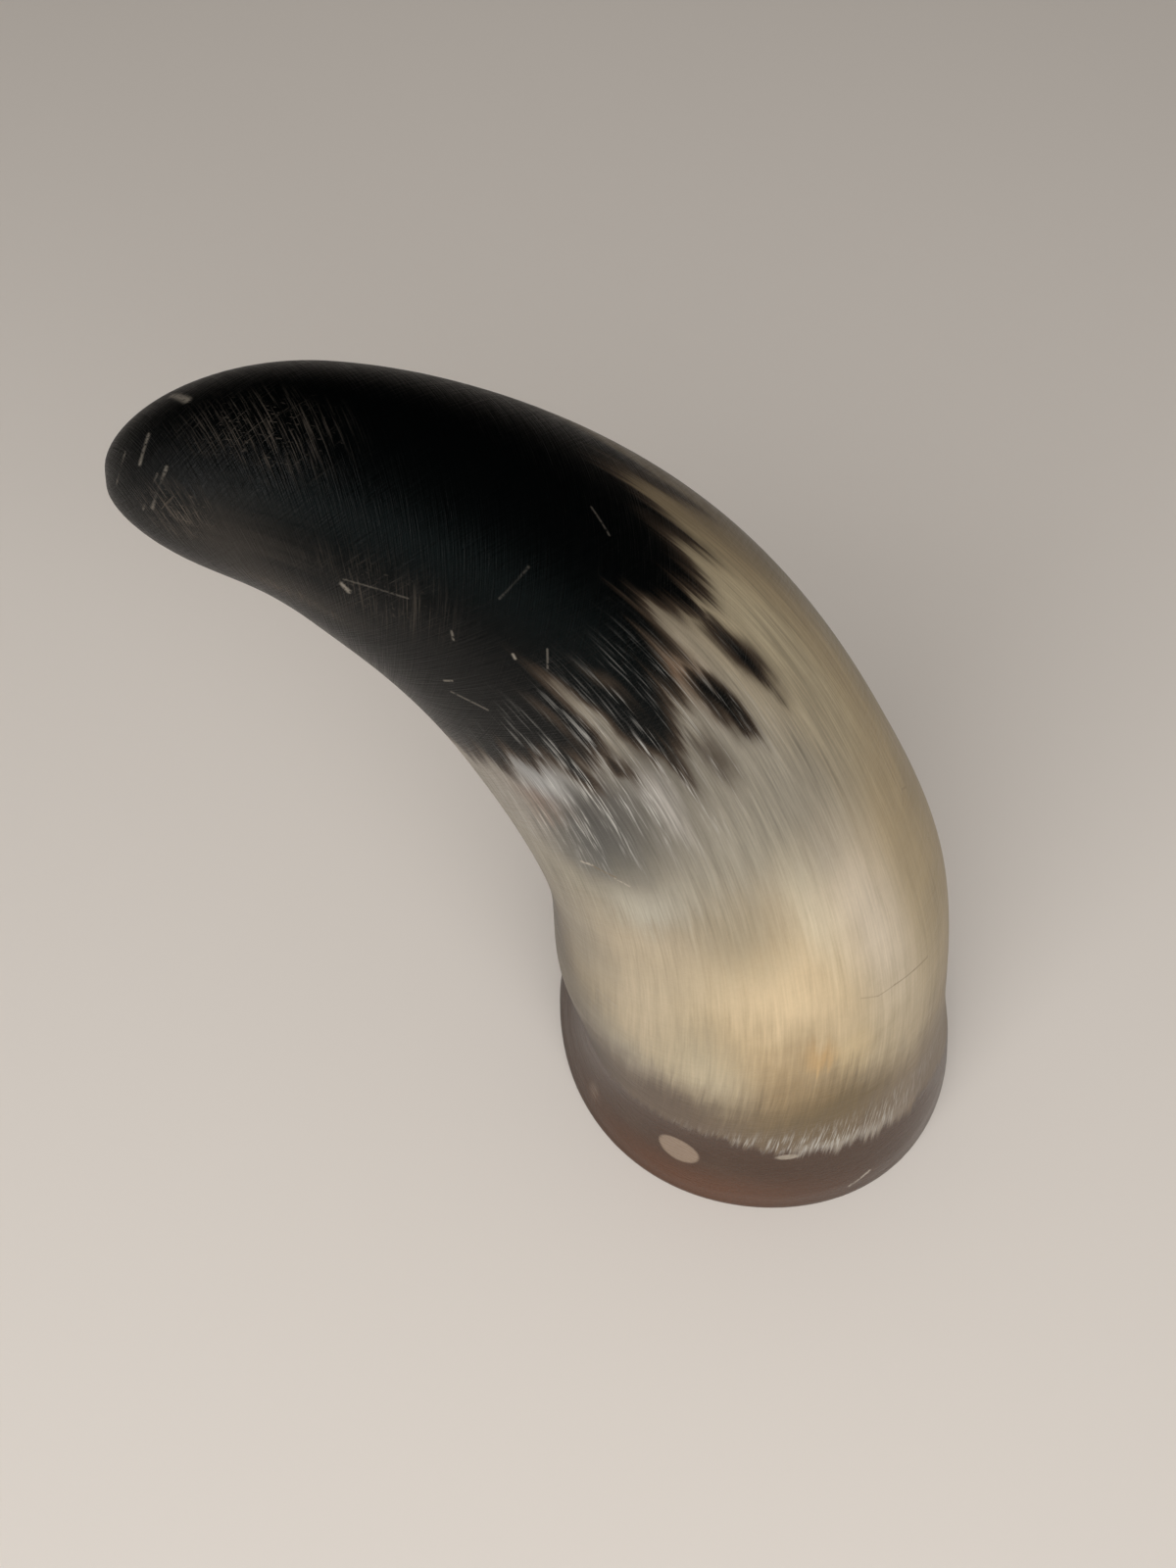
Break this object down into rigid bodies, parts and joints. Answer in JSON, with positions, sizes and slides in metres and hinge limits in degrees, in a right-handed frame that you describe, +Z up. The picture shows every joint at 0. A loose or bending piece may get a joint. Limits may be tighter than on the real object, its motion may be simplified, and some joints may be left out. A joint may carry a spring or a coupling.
{
  "type": "buffalo horn",
  "caption": "Short, thick buffalo horn, sawn flat at its hollow root so that it stands, curving over to a blunt rounded tip; a natural display piece.",
  "frame": {"origin": "on the floor, under the middle of the horn's bounding box", "axes": "+Z up from the sawn root; the horn curves over towards -X and leans slightly towards +Y"},
  "size_m": [0.1426, 0.0858, 0.1707],
  "materials": {
    "horn": "polished horn, black at the tip, cream and tan below, brown at the root rim"
  },
  "bodies": {
    "root": {"horn": "horn"}
  },
  "joints": []
}
